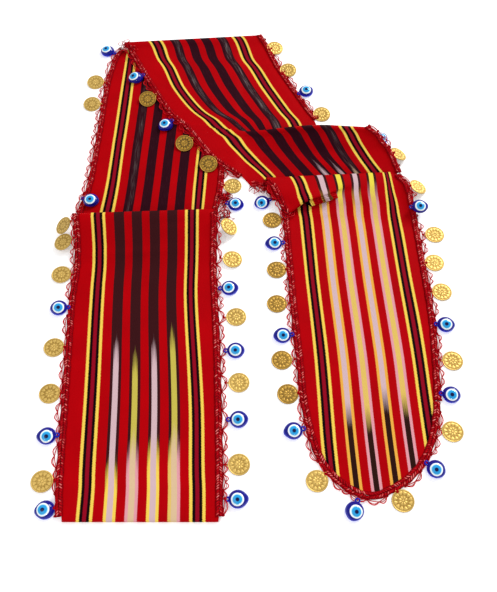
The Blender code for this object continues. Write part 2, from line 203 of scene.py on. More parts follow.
# The cloth: one strip of warp-faced satin, red, with a group of thin yellow, black and crimson
# lines near each edge and broader stripes between them that were tie-dyed on the warp before
# weaving. It lies in five stretches. Each is woven as a thin shell, laid out row by row.
MILLIMETRE = 0.001
CLOTH_THICK = 0.9
STRIP_WIDE = 140.0
REST = 0.6    # height of a cloth's middle where it lies on the table
ROW_STEPS = 12    # rows worked out between two rows of a table
RED, DEEP_RED, CRIMSON = tint(174, 1, 8), tint(146, 0, 6), tint(132, 8, 30)
YELLOW, BLACK, PLUM, SOOT = tint(230, 198, 80), tint(12, 5, 8), tint(40, 8, 18), tint(22, 10, 10)
LILAC, PINK, CREAM = tint(198, 170, 176), tint(212, 146, 156), tint(206, 178, 142)
LEMON, FADED_LEMON = tint(222, 208, 70), tint(186, 174, 74)
GOLD_YARN, AMBER = tint(212, 180, 92), tint(222, 164, 66)
LINES = ((15.5, YELLOW, 1.35), (18.2, BLACK, 1.35), (21.3, CRIMSON, 1.6),
         (24.3, BLACK, 1.35), (27.0, YELLOW, 1.35))
IKAT_HALF, IKAT_CORE = 5.3, 2.6
DARK = ((0, PLUM),)
FEATHER = 12.0    # how far a change of dye reaches each way along the warp


def striped_satin(name, width, stripes, length, silver=None, taper=0.0, ragged=34.0):
    """Each stripe is its middle on the strip, then the dyes of its core, west and east edge.
    A dye is a row of (place along the strip, colour), with a feathered change at each place,
    which is drawn out to a tip along the middle of the stripe by taper."""
    satin = Finish(name, Roughness=0.5, Specular_IOR_Level=0.015)
    across, along, _ = satin.lay()
    painted_wrinkle_shade = satin.speckle(satin.vector(across, along), 45.0)
    warp = satin.speckle(satin.vector(across * 2.4, along * 0.05), 1.0)
    fine = satin.speckle(satin.vector(across * 1.0, along * 1.6), 0.9, 0.0)
    twill = (along + across * 0.8).wave(1.35)
    pick = along.wave(1.5, fine * 3.0)
    # The red is mixed darker in broad cloudy patches: painted shade for soft wrinkles, with real warp
    # streaks, weave and random tone on top.
    cloth = satin.mix(DEEP_RED, RED, painted_wrinkle_shade * 1.1 + warp * 0.4 + twill * 0.25 + fine * 0.2 - 0.45)
    margin = across.least(width - across) + pick * 0.56 - 0.28
    for place, colour, half in LINES:
        cloth = satin.mix(cloth, colour, margin.band(place, half))
    pale = margin.band(15.5, 1.35) + margin.band(27.0, 1.35)
    feather = along + (warp - 0.5) * ragged + (fine - 0.5) * 6.0
    streak = satin.speckle(satin.vector(across * 1.7, along * 0.09), 1.0).ease(0.5, 0.8)
    for number, (middle, *dyes) in enumerate(stripes):
        side = across - middle
        side = side + (pick * 0.34 - 0.17) * side * 0.2
        yarns = []
        tapered = feather + abs(side) * taper
        for dye in dyes:
            if len(dye) == 1:
                yarns.append(satin.mix(dye[0][1], tint(84, 44, 56), streak * 0.2))
                continue
            stops = [(0.0, dye[0][1])]
            for (place, colour), (_, before) in zip(dye[1:], dye):
                stops += [((place - FEATHER) / length, before), ((place + FEATHER) / length, colour)]
            yarns.append(satin.node("ShaderNodeValToRGB", {"stops": stops}, {0: tapered * (1.0 / length)}))
        core, west, east = yarns
        stripe = satin.mix(satin.mix(west, east, side.ease(-0.2, 0.2)), core, side.band(0.0, IKAT_CORE))
        # Some dark stripes get pale silvery dashes along the warp: a painted sheen, a highlight painted into
        # the colour.
        if number in (silver or {}):
            gleam = side.band(0.8, 2.6, 1.5) * satin.speckle(
                satin.vector(across * 1.9, along * 0.05), 1.0).ease(0.46, 0.74)
            stripe = satin.mix(stripe, tint(182, 170, 168), gleam * silver[number])
        inside = side.band(0.0, IKAT_HALF)
        cloth = satin.mix(cloth, stripe, inside)
        if dyes[1] != DARK:
            pale = pale + inside
    pale = pale.least(1.0)
    cloth = satin.mix(cloth, tint(120, 60, 40), (1 - twill) * pale * 0.16)
    satin.paint(Base_Color=cloth, Roughness=0.5 + painted_wrinkle_shade * 0.1 - pale * 0.08)
    threads = across.wave(0.62) * 0.4 + twill * 0.35 + fine * 0.5 + warp * 0.3
    satin.relief(threads, 0.00009)
    return satin.made


def rounded(rows, steps):
    """Rows of a table with smooth ones worked out between them."""
    rows = np.array(rows, float)
    last = len(rows) - 1
    finer = []
    for index in range(last):
        a, b, c, d = (rows[max(min(k, last), 0)] for k in range(index - 1, index + 3))
        for t in np.arange(steps) / steps:
            finer.append(0.5 * (2 * b + (c - a) * t + (2 * a - 5 * b + 4 * c - d) * t ** 2
                                + (3 * b - a - 3 * c + d) * t ** 3))
    return np.array(finer + [rows[last]])


def smooth(value):
    value = np.clip(value, 0.0, 1.0)
    return value * value * (3 - 2 * value)


def over_back(x):
    """Middle of a wall that lies on the back stretch and comes down east of it."""
    return REST + 1.8 * smooth((-3.0 - x) / 15.0)


def across_rows(rows, columns):
    """Middle surface of a stretch whose rows run straight from west to east."""
    t = np.linspace(0, 1, columns + 1)[None, :, None]
    return rows[:, None, :3] + (rows[:, None, 3:] - rows[:, None, :3]) * t


def unit(ways):
    """The same ways, each of length 1."""
    return ways / np.maximum(np.linalg.norm(ways, axis=-1, keepdims=True), 1e-9)


def directions(grid):
    """The way each point of a sheet faces."""
    return unit(np.cross(np.gradient(grid, axis=0), np.gradient(grid, axis=1)))


def walked(line):
    """How far along a line of points each of them lies."""
    return np.concatenate([[0], np.cumsum(np.linalg.norm(np.diff(line, axis=0), axis=1))])


def creased(grid, creases):
    """Soft ridges and troughs, each from one point of the table top to another."""
    out = directions(grid)
    up = np.where(out[..., 2:] < 0, -out, out)
    push = np.zeros(grid.shape[:2])
    for x0, y0, x1, y1, half, high in creases:
        run = np.array([x1 - x0, y1 - y0])
        place = grid[..., :2] - (x0, y0)
        t = np.clip(place @ run / (run @ run), 0, 1)
        away = np.linalg.norm(place - t[..., None] * run, axis=2)
        push += high * np.exp(-(away / half) ** 2) * np.sin(np.pi * np.clip(t, 0.04, 0.96)) ** 0.7
    moved = grid + up * push[..., None]
    moved[..., 2] = np.maximum(moved[..., 2], REST)
    return moved


def piece_of(name, parts, finish, sharp=None):
    """A piece from parts, each its points in millimetres, their lay and the faces between them."""
    points, lay, faces, first = [], [], [], 0
    for spots, marks, corners in parts:
        points.append(spots)
        lay.append(marks)
        faces += [[corner + first for corner in face] for face in corners]
        first += len(spots)
    mesh = bpy.data.meshes.new(name)
    mesh.from_pydata(np.concatenate(points) * MILLIMETRE, [], faces)
    kept = mesh.attributes.new("lay", "FLOAT_VECTOR", "POINT")
    kept.data.foreach_set("vector", np.concatenate(lay).astype(np.float32).ravel())
    mesh.shade_smooth()
    if sharp:
        mesh.set_sharp_from_angle(angle=math.radians(sharp))
    mesh.materials.append(finish)
    return in_scene(name, mesh)


def put(piece, node=None):
    """The piece lies still and stands for its node, if it has one."""
    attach(piece, "root")
    if node:
        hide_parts(node)


def shell(name, grids, lays, finish):
    """One piece from one or more sheets, each closed all round."""
    parts = []
    for grid, marks in zip(grids, lays):
        rows, columns = grid.shape[:2]
        out = directions(grid) * CLOTH_THICK / 2
        top = np.arange(rows * columns).reshape(rows, columns)
        low = top + rows * columns
        faces = []
        for skin, turn in ((top, 1), (low, -1)):
            corners = np.stack([skin[:-1, :-1], skin[:-1, 1:], skin[1:, 1:], skin[1:, :-1]], axis=-1)
            faces += corners.reshape(-1, 4)[:, ::turn].tolist()
        rim = [*[(0, c) for c in range(columns)], *[(r, columns - 1) for r in range(1, rows)],
               *[(rows - 1, c) for c in range(columns - 2, -1, -1)],
               *[(r, 0) for r in range(rows - 2, 0, -1)]]
        faces += np.array([(top[b], top[a], low[a], low[b])
                           for a, b in zip(rim, rim[1:] + rim[:1])]).tolist()
        points = np.concatenate([grid + out, grid - out])
        parts.append((points.reshape(-1, 3), np.concatenate([marks, marks]).reshape(-1, 3), faces))
    return piece_of(name, parts, finish, sharp=60)


def laid(grid, marks, lines):
    """Where each point is on the flat strip: millimetres from the west edge and along it.
    A row of lines is its number and the x of each mark, which is a place across the strip."""
    keys = [row[0] * ROW_STEPS for row in lines]
    rows = np.arange(len(grid))
    seen = np.array([np.interp(rows, keys, [row[k + 1] for row in lines]) for k in range(len(marks))]).T
    reach = ROW_STEPS * 9 // 8
    bell = np.exp(-(np.arange(-reach, reach + 1) / (reach / 2)) ** 2)
    padded = np.pad(seen, ((reach, reach), (0, 0)), "reflect", reflect_type="odd")
    seen = np.array([np.convolve(column, bell / bell.sum(), "valid") for column in padded.T]).T
    beyond = 60    # the strip's places go on evenly past the first and last mark
    across = np.empty(grid.shape[:2])
    for row, places in enumerate(seen):
        wide = np.concatenate([[places[0] - beyond], places, [places[-1] + beyond]])
        across[row] = np.interp(grid[row, :, 0], wide, [marks[0] - beyond, *marks, marks[-1] + beyond])
    along = walked(grid[:, grid.shape[1] // 2])
    return np.stack([across, np.repeat(along[:, None], grid.shape[1], 1), 0 * across], axis=2)


def ruler(grid, lay, first, last):
    """Tells how far along the strip a y of the table top is, between two rows that show."""
    shown = slice(first * ROW_STEPS, last * ROW_STEPS + 1)
    middle, along = grid[shown, grid.shape[1] // 2, 1], lay[shown, 0, 1]
    order = np.argsort(middle)
    return lambda y: float(np.interp(y, middle[order], along[order]))


def cloth_area(grid):
    across = np.diff(grid, axis=1)[:-1]
    along = np.diff(grid, axis=0)[:, :-1]
    return float(np.linalg.norm(np.cross(across, along), axis=2).sum()) * 1e-6


def sew_up(piece, node, wide, grids, **facts):
    """The piece takes its node's place. The size of its cut is worked out but not kept."""
    put(piece, node)
    wide *= MILLIMETRE
    area = sum(cloth_area(grid) for grid in grids)
    area / wide


def weave(name, grid, lay, dyes, wide=STRIP_WIDE, facts=(), **looks):
    """One stretch of the strip, with the satin it is cut from."""
    satin = striped_satin("striped_satin_" + name, wide, dyes, float(lay[-1, 0, 1]), **looks)
    cloth = shell("cloth_" + name, [grid], [lay], satin)
    sew_up(cloth, "panel_" + name, wide, [grid], **dict(facts))
    return cloth, satin


# A row of a stretch is the x, y and z of its west edge and then of its east edge, and a crease
# is where it starts and ends, its half width and how high it stands, all in millimetres.
LEFT_ROWS = [
    (-162, -275, 0.6, -28, -275, 0.6), (-162, -295.5, 0.6, -28, -295.5, 0.6),
    (-162, -299.4, 1.9, -28, -299.4, 1.9), (-162.5, -295.5, 3.2, -27.5, -295.5, 3.2),
    (-165.5, -272, 2.6, -28, -272, 2.6), (-167.5, -250, 0.6, -28.5, -250, 0.6),
    (-170.5, -197, 0.6, -30.5, -197, 0.6), (-174, -136, 0.6, -33, -136, 0.6),
    (-177, -80, 0.6, -36.5, -80, 0.6), (-176, -45, 1.8, -38.5, -45, 1.8),
    (-176.5, -26, 6, -38.5, -25, 6), (-177.5, -12, 11, -38.5, -9, 11),
    (-179, 1, 16, -38.5, 5, 16), (-180, 10, 18.4, -39, 15, 18.4),
    (-180.5, 14.5, 17.6, -39, 20, 17.6), (-180.5, 16, 14.8, -39, 21.5, 14.8),
    (-180.5, 13.5, 12.2, -39, 19, 12.2), (-180.5, 6, 11, -39, 11, 11)]
LEFT_MARKS = (15.5, 27.0, 113.0, 124.5)
LEFT_LINES = [
    (3, -148.5, -137.3, -51.4, -40.2), (4, -149, -137.7, -52.3, -40.9),
    (6, -153.6, -141.9, -55.3, -44.2), (8, -160.6, -148.9, -66.3, -55.5),
    (10, -161.7, -150, -66.4, -55.2), (13, -165.5, -153.5, -67.1, -55.5),
    (17, -166.3, -154.2, -67.3, -55.7)]
LEFT_CREASES = [(-176, -30, -60, -22, 5, 0.8), (-170, -62, -90, -56, 9, 0.7),
                (-120, -120, -40, -112, 12, 0.5), (-165, -205, -70, -214, 14, 0.5),
                (-110, 2, -50, 6, 4, -0.7)]
FOUR_STRIPES = (42.8, 61.3, 79.8, 98.3)

left = creased(across_rows(rounded(LEFT_ROWS, ROW_STEPS), 70), LEFT_CREASES)
left_lay = laid(left, LEFT_MARKS, LEFT_LINES)
left_at = ruler(left, left_lay, 3, 13)
left_dyes = []
for middle, core, lower, core_y, lower_y, west, east, edge_y in (
        (42.8, LILAC, LILAC, -132, -242, YELLOW, YELLOW, -242),
        (61.3, FADED_LEMON, CREAM, -145, -226, PINK, PINK, -226),
        (79.8, LILAC, LILAC, -134, -222, YELLOW, YELLOW, -222),
        (98.3, FADED_LEMON, CREAM, -120, -219, GOLD_YARN, PINK, -219)):
    left_dyes.append((middle, ((0, lower), (left_at(lower_y), core), (left_at(core_y), PLUM)),
                      ((0, west), (left_at(edge_y), PLUM)), ((0, east), (left_at(edge_y), PLUM))))
_, left_satin = weave("left", left, left_lay, left_dyes, taper=4.0)

BACK_ROWS = [
    (-187, 1.4, 0.6, -43.5, 5.5, 0.6), (-181, 34, 0.6, -38.5, 37, 0.6),
    (-175.5, 65, 0.6, -34.5, 66, 0.6), (-173.5, 105, 0.6, -33, 105, 0.6),
    (-172, 150, 0.6, -31, 150, 0.6), (-171, 200, 0.6, -28, 200, 0.6),
    (-168.5, 235, 0.6, -26, 236, 0.6), (-163.5, 264, 0.6, -24, 268, 0.6),
    (-157.5, 278, 0.6, -22, 288.5, 0.6)]
BACK_LINES = [
    (0, -163.3, -150, -62.6, -53), (1, -160.3, -147.7, -62, -51.5),
    (2, -157.6, -145.5, -61.6, -50), (3, -156.5, -145.1, -59.4, -48.7),
    (5, -154, -141.7, -54.9, -44), (6, -153, -141.9, -53.1, -42.4),
    (7, -151.9, -142, -51.9, -40.7), (8, -151.4, -142.1, -50.5, -39.6)]
BACK_CREASES = [(-170, 130, -120, 122, 8, 0.7), (-160, 60, -70, 52, 10, 0.5)]
back = creased(across_rows(rounded(BACK_ROWS, ROW_STEPS), 60), BACK_CREASES)
back_dyes = [(middle, DARK, DARK, DARK) for middle in FOUR_STRIPES]
cloth_back, _ = weave("back", back, laid(back, LEFT_MARKS, BACK_LINES), back_dyes, silver={0: 0.15})

TOP_ROWS = [
    (-151, 279.5, 0.6, 8, 292, 0.6), (-152, 285.5, 1, 8, 297.5, 1),
    (-152.5, 287.8, 3.4, 8, 300, 3.4), (-152, 285.5, 5.8, 9, 297.6, 5.8),
    (-150, 281.5, 6.2, 12, 291.5, 6), (-146, 275.5, 4.4, 18, 281, 3.6),
    (-138, 259, 2.4, 26, 261.5, 1.2), (-129, 241.5, 2.4, 33, 244, 0.6),
    (-112, 208, 2.4, 49, 210, 0.6), (-94, 175.5, 2.4, 65, 177.5, 0.6),
    (-81, 160, 2.4, 74.5, 161, 0.6), (-71.4, 150.5, 2.4, 84, 137.6, 0.6)]
# A row of the bridge is the x and y of its west and of its east edge, and then how far north
# and how high its pleat lifts it.
BRIDGE_ROWS = [
    (-71, 149.9, 122, 131.6, -6.5, 4.6), (-70.3, 148.7, 125, 131.4, -2.5, 5.8),
    (-69.6, 147.5, 126, 131.2, 1, 9.3), (-68.8, 146.3, 127, 130.8, 3, 14.5),
    (-68, 145, 127.5, 130.4, 2, 19.6), (-66.8, 143.2, 128.5, 129.6, -1, 23),
    (-65.2, 140.6, 131, 127, -1.5, 23.6), (-62, 136, 138.5, 121, 0, 20.8),
    (-54.5, 124.5, 145, 113, 0, 16.6), (-46.5, 113, 152, 105, 0, 12.6),
    (-38.5, 102, 156.5, 96, 0, 9.2), (-24, 90, 160, 87, 0, 6),
    (-9, 77, 162.8, 78.5, 0, 3.4), (1, 64, 164, 71, 0, 1.8)]
LIFT_STARTS, LIFT_SPAN = 0.17, 0.64    # shares of the way across
TUCKED_UNDER = 13.0    # how far south the top stretch goes on under the bridge's pleat
TOP_MARKS = (15.5, 27.0, 43.0, 61.5, 79.8, 98.8, 113.0, 124.5)
TOP_LINES = [
    (3, -125.8, -111.9, -95.2, -76.7, -58, -37.7, -22.9, -10.8),
    (5, -119.9, -105.7, -88.6, -69.7, -50.7, -30, -15.1, -2.8),
    (6, -113.4, -100.6, -84.5, -65.2, -45.9, -25.6, -9.5, 2.8),
    (7, -104.4, -91.9, -76.2, -56.2, -36.8, -16, -0.4, 12.2),
    (8, -92, -79.8, -64.1, -43.5, -22.8, 0.2, 14.9, 28),
    (9, -67.9, -54.7, -41.7, -23.1, -2.5, 19.3, 34.4, 46.9),
    (10, -53.2, -38, -23.9, -9.6, 6.2, 25.6, 41.9, 54.5),
    (11, -44, -25.9, -3, 8.1, 18.7, 36.6, 55.6, 69.1)]
TOP_CREASES = [(-125, 262, -60, 180, 10, 0.8), (-70, 230, -20, 160, 12, 0.8),
               (20, 250, 62, 170, 8, 0.6), (-40, 160, 60, 150, 8, 0.9)]
top = across_rows(rounded(TOP_ROWS, ROW_STEPS), 130)
top[..., 2] = np.maximum(top[..., 2], over_back(top[..., 0]))
pleats = rounded(BRIDGE_ROWS, ROW_STEPS)
share = np.clip((top[..., 0] - pleats[0, 0]) / (pleats[0, 2] - pleats[0, 0]), 0, 1)
tucked = smooth((share - LIFT_STARTS) / LIFT_SPAN)
meets = pleats[0, 1] + (pleats[0, 3] - pleats[0, 1]) * share - TUCKED_UNDER * tucked
reach = np.linspace(0, 1, ROW_STEPS + 1)[1:, None] ** 1.3
top[-ROW_STEPS:, :, 1] += (meets[-1:] - top[-1:, :, 1]) * reach
top[-1, :, 0] += (pleats[0, 0] - top[-1, 0, 0]) * (1 - share[-1])
top = creased(top, TOP_CREASES)
top_dyes = [(middle, DARK, DARK, DARK) for middle in TOP_MARKS[2:6]]
weave("top", top, laid(top, TOP_MARKS, TOP_LINES), top_dyes, facts={"rests_on": [cloth_back]},
      silver={0: 0.27, 3: 0.34})

BRIDGE_MARKS = (15.5, 27.0, 45.5, 65.0, 82.7, 99.4, 116.8, 131.0, 142.5)
BRIDGE_LINES = [
    (0, -43.2, -24.3, -2.3, 21.3, 42.9, 63.5, 84.9, 101.7, 115.6),
    (2, -41.6, -22.9, -0.8, 23.2, 45.2, 66.1, 88.1, 105.1, 119.2),
    (4, -39.8, -21.5, 0.3, 23, 43.2, 62.6, 83.1, 99.7, 113.2),
    (6, -36.6, -18.5, 3.5, 25.7, 45.7, 64.6, 84.5, 100.4, 113.7),
    (8, -24.2, -6.2, 14.2, 36.2, 55.7, 74.8, 94.1, 109.1, 122.3),
    (10, -7.3, 8.3, 27.4, 48.7, 68.2, 85.8, 104.6, 120.2, 133.7),
    (12, 15.1, 27.4, 44, 65.6, 85, 103.4, 118.9, 132.9, 147.3),
    (13, 23.2, 34.3, 52.2, 73.6, 92.6, 111.1, 125, 137.9, 152.6)]
BRIDGE_CREASES = [(-20, 110, 60, 92, 7, 0.8), (40, 108, 130, 104, 6, -0.8), (60, 92, 150, 84, 5, 0.6)]
t = np.linspace(0, 1, 141)[None, :]
rise = smooth((t - LIFT_STARTS) / LIFT_SPAN)
bridge_x = pleats[:, :1] + (pleats[:, 2:3] - pleats[:, :1]) * t
bridge_y = pleats[:, 1:2] + (pleats[:, 3:4] - pleats[:, 1:2]) * t + rise * pleats[:, 4:5]
bridge_z = over_back(bridge_x) + rise * np.maximum(pleats[:, 5:6], 0.0)
bridge = creased(np.stack([bridge_x, bridge_y, bridge_z], axis=2), BRIDGE_CREASES)
bridge_lay = laid(bridge, BRIDGE_MARKS, BRIDGE_LINES)
bridge_at = ruler(bridge, bridge_lay, 6, 13)
bridge_dyes = []
for middle, core_y, core in zip(BRIDGE_MARKS[2:7], (0, 0, 88, 86, 83), (PLUM, PLUM, LILAC, LILAC, CREAM)):
    core_dye = ((0, PLUM), (bridge_at(core_y), core)) if core_y else DARK
    bridge_dyes.append((middle, core_dye, DARK, DARK))
BRIDGE_WIDE = 158.0
_, bridge_satin = weave("bridge", bridge, bridge_lay, bridge_dyes, BRIDGE_WIDE, silver={4: 0.15}, taper=-5.0)

RIGHT_ROWS = [
    (17, 59.5, 2.6, 154, 67, 4.3), (17, 66, 3.6, 153.5, 73.5, 5.2),
    (17, 69, 7.2, 153, 76.5, 8.2), (17.5, 67.5, 10.8, 154, 75, 11),
    (20, 63, 12.2, 158, 70, 12.2), (26.5, 56, 12.2, 166, 60.5, 11.6),
    (30.5, 48, 11.2, 170, 49.5, 9), (33.5, 40.5, 8.8, 171.5, 40.5, 6.6),
    (36, 34, 4.6, 172.7, 32, 4.4), (38.5, 27, 1.6, 173.7, 23, 2.4),
    (39.6, 18.5, 0.6, 174.5, 10, 0.6), (40.8, -12, 0.6, 175.5, -14, 0.6),
    (43, -56, 0.6, 177, -56, 0.6), (45.5, -103, 0.6, 178, -101, 0.6),
    (48.5, -146, 0.6, 176, -146, 0.6), (51, -188, 0.6, 172.5, -188, 0.6),
    (57, -223, 0.6, 164, -223, 0.6), (64.5, -245, 0.6, 153, -245, 0.6),
    (76.5, -261, 0.6, 138, -261, 0.6), (88, -270, 0.6, 123, -270, 0.6),
    (96, -274, 0.6, 114, -274, 0.6), (103.5, -275.8, 0.6, 107, -275.8, 0.6)]
RIGHT_MARKS = (15.5, 27.0, 42.8, 61.3, 79.8, 98.3, 113.0, 124.5)
RIGHT_LINES = [
    (3, 43.6, 55.5, 75.6, 94.9, 113.5, 131.3, 145.8, 151.8),
    (4, 46, 57.5, 76.9, 95.9, 114.1, 131.5, 146.1, 152.1),
    (5, 49.1, 60.5, 78.7, 96.9, 114.9, 131.8, 146.9, 153.2),
    (6, 51.4, 62.2, 78.6, 96.6, 114.3, 131.6, 147.2, 155),
    (7, 51.8, 62.8, 79, 97, 115, 132.8, 147.8, 157.2),
    (8, 53, 64.4, 79.8, 97.9, 116, 134, 148.2, 158.3)]
# Further south the broad stripes lie evenly between the two groups of thin lines.
for number, *edges in (
        (9, 52.8, 64.6, 148.3, 159.0), (11, 55.6, 67.2, 150.2, 161.8), (12, 57.7, 68.6, 152.2, 163.3),
        (13, 60.9, 71.7, 154.8, 166.7), (14, 63.0, 74.3, 156.9, 168.0), (15, 64.1, 75.3, 157.1, 168.2),
        (16, 64.7, 75.9, 158.1, 169.4), (18, 67.0, 77.6, 159.4, 170.6), (21, 68.4, 78.8, 160.4, 171.6)):
    RIGHT_LINES.append((number, *np.interp(RIGHT_MARKS, LEFT_MARKS, edges)))
RIGHT_CREASES = [(36, 22, 96, 26, 5, 0.9), (44, -30, 110, -38, 12, 0.5), (90, -140, 160, -150, 14, 0.5),
                 (70, -230, 130, -246, 12, 0.5), (158, 64, 166, 20, 6, -1.6), (60, 52, 140, 50, 4, -0.5)]
# The ridge's lip hides what is under it: a row of the stretch, and how far that moves in x, y, z.
TUCK = [(6.4, 0, 0, 0), (7, 0.5, -0.8, 0.9), (7.4, 1.4, -2.6, 2), (7.8, 2.2, -3.8, 1.7),
        (8.1, 1.6, 0.4, -1), (8.4, 0.4, 3.6, -2.2), (8.7, -0.2, 5.2, -2.4), (9, -0.3, 4.6, -1.7),
        (9.4, 0, 2.2, -0.6), (9.9, 0, 0, 0)]
# The tuck runs aslant: at this x it starts so many rows later, or earlier where that is below 0.
TUCK_LINE = [(41, 0.7), (55, -0.7), (64, -1.2), (81, -1.8), (101, -2.5)]
right_plain = across_rows(rounded(RIGHT_ROWS, ROW_STEPS), 120)
right_lay = laid(right_plain, RIGHT_MARKS, RIGHT_LINES)
right = right_plain.copy()
step = np.arange(len(right))[:, None] / ROW_STEPS
aslant = np.interp(right[..., 0], *zip(*TUCK_LINE))
depth = 1.25 * (1 - smooth((right[..., 0] - 66.0) / 48.0))
tuck = rounded(TUCK, 6)
for axis in range(3):
    right[..., axis] += np.interp(step - aslant, tuck[:, 0], tuck[:, axis + 1]) * depth
right[..., 2] = np.maximum(right[..., 2], REST)
right = creased(right, RIGHT_CREASES)
right_at = ruler(right, right_lay, 4, 21)
right_dyes = []
for middle, core, lower, west, east, edge_y, core_y in (
        (42.8, LILAC, LILAC, AMBER, AMBER, 42, -202), (61.3, LEMON, GOLD_YARN, PINK, PINK, 43, -207),
        (79.8, LILAC, LILAC, AMBER, AMBER, 44, -187), (98.3, LEMON, GOLD_YARN, PINK, PINK, 50, -193)):
    right_dyes.append((middle, ((0, core), (right_at(edge_y), lower), (right_at(core_y), SOOT)),
                       ((0, PLUM), (right_at(edge_y), west)), ((0, PLUM), (right_at(edge_y), east))))
_, right_satin = weave("right", right, right_lay, right_dyes, ragged=18.0)


# The hidden layers of the three pleats: more of the same satin, folded under itself. They
# nest under the ridge, each a little lower than the one above, and show only at the ends.
LAYER_FLOOR = 0.55


def nested(grid, lay, first, last, start, end, drops):
    """Sheets that follow a stretch's underside at these distances, down to the table top."""
    part, marks = grid[first:last + 1:2, start:end + 1:2], lay[first:last + 1:2, start:end + 1:2]
    down = directions(part)
    down = np.where(down[..., 2:] > 0, -down, down)
    sheets, kept = [], []
    for drop in drops:
        sheet = part + down * drop
        sheet[..., 2] = np.maximum(sheet[..., 2], LAYER_FLOOR)
        rows = np.flatnonzero((sheet[..., 2] > LAYER_FLOOR + 0.01).any(axis=1))
        sheets.append(sheet[rows[0]:rows[-1] + 1])
        kept.append(marks[rows[0]:rows[-1] + 1])
    return sheets, kept


for name, grid, lay, finish, (first, last, start, end), wide in (
        ("left", left, left_lay, left_satin, (9, 12, 0, 70), STRIP_WIDE),
        ("bridge", bridge, bridge_lay, bridge_satin, (7, 11, 48, 140), BRIDGE_WIDE),
        ("right", right, right_lay, right_satin, (5, 7, 0, 120), STRIP_WIDE)):
    drops = (1.9, 5.0, 8.2, 11.4) if name != "right" else (1.9, 4.6, 7.3)
    sheets, marks = nested(grid, lay, first * ROW_STEPS, last * ROW_STEPS, start, end, drops)
    if name == "right":    # its west ends are pulled in, to lie one under the other
        for sheet in sheets:
            straight = 17.5 + 6.0 * smooth((54.0 - sheet[:, 0, 1]) / 8.0)
            pulled = np.minimum(straight - sheet[:, 0, 0], 0.0)
            sheet[:, :14, 0] += pulled[:, None] * (1 - np.arange(14) / 14)
    # One more layer lies flat under the others.
    lowest = (first + (name == "bridge")) * ROW_STEPS
    spread = (slice(lowest, last * ROW_STEPS + 1, 4), slice(start, end + 1, 4))
    under = grid[spread].copy()
    under[..., 2] = 0.5
    sheets.append(under)
    marks.append(lay[spread])
    layers = shell("layers_" + name, sheets, marks, finish)
    sew_up(layers, "pleat_" + name, wide, sheets)


# The crocheted edging: shiny plied red thread. Two chains of stitches lie side by side over the
# cloth's edge, and long thin loops run from them, knot to knot, out to each coin and bead.
BRAID_LEVEL = 0.2
UP = np.array([0.0, 0.0, 1.0])
dice = np.random.default_rng(7)


def red_thread():
    """Each thread carries a painted shade: 0 dark as the shade between the stitches, 1 lit on top, and over
    1 a painted pink highlight where it glints.
    """
    thread = Finish("red_crochet_thread", Roughness=0.45, Specular_IOR_Level=0.03)
    along, turn, shade = thread.lay()
    ply = (along + turn * 0.8).wave(0.8)
    patch = thread.speckle(thread.vector(along, shade), 2.6)
    # The shade and its patches set painted light: dark red in shade, bright red where lit, and a painted
    # pink glint above about 1.
    tone = shade * 0.9 + patch * 0.5 + ply * 0.16 - 0.3
    red = thread.mix(tint(74, 0, 8), tint(200, 8, 22), tone)
    thread.paint(Base_Color=thread.mix(red, tint(250, 140, 136), tone.ease(0.98, 1.25) * 0.8))
    thread.relief(ply, 0.0001)
    return thread.made


def hoops(rows, around, turn=1):
    """Faces between rings of points that follow each other, and one to close each end."""
    index = np.arange(rows * around).reshape(rows, around)
    after = np.roll(index, -1, axis=1)
    others = [after[:-1], after[1:], index[1:]][::turn]
    faces = np.stack([index[:-1], *others], axis=-1).reshape(-1, 4).tolist()
    return faces + [index[0][::-turn].tolist(), index[-1][::turn].tolist()]


def spun(name, strands, finish, sides=4):
    """One piece from many threads: each is a row of points, a half width and a shade."""
    parts = []
    turn = np.arange(sides) / sides
    angle = math.tau * turn[None, :, None]
    for which, (line, half, shade) in enumerate(strands):
        line = np.asarray(line, float)
        count = len(line)
        run = unit(np.gradient(line, axis=0))
        side = np.cross(run, UP)
        side[np.linalg.norm(side, axis=1) < 0.05] = (1.0, 0.0, 0.0)
        side = unit(side)
        face = np.cross(side, run)
        half = np.broadcast_to(half, count)[:, None, None]
        ring = line[:, None] + half * (np.cos(angle) * side[:, None] + np.sin(angle) * face[:, None])
        lay = np.stack([np.repeat(walked(line) + which * 31.0 % 977, sides), np.tile(turn, count),
                        np.repeat(np.broadcast_to(shade, count), sides)], axis=1)
        parts.append((ring.reshape(-1, 3), lay, hoops(count, sides)))
    return piece_of(name, parts, finish)


class Run:
    """A run of cloth edge, walked by its length in millimetres before it was creased."""

    def __init__(self, points, sign, inner=-1.5, plain=None):
        self.points = np.asarray(points, float)
        self.reach = walked(self.points if plain is None else plain)
        self.length = float(self.reach[-1])
        self.sign = sign
        self.inner = inner

    def at(self, along):
        along = np.clip(along, 0, self.length)
        return np.stack([np.interp(along, self.reach, self.points[:, k]) for k in range(3)], axis=-1)

    def outward(self, along):
        run = self.at(along + 4.0) - self.at(along - 4.0)
        return unit(np.stack([run[..., 1], -run[..., 0], 0 * run[..., 0]], axis=-1)) * self.sign

    def out(self, along, distance, rise=0.0):
        level = np.multiply.outer(BRAID_LEVEL + rise, UP)
        return self.at(along) + self.outward(along) * np.asarray(distance)[..., None] + level


def edge(grid, first, last, side):
    return grid[first * ROW_STEPS:last * ROW_STEPS + 1, side]


def above(out):
    """How high the edging lies over the cloth's middle, this far out from its edge."""
    return 1.15 - 0.8 * smooth((out + 0.5) / 3.0)


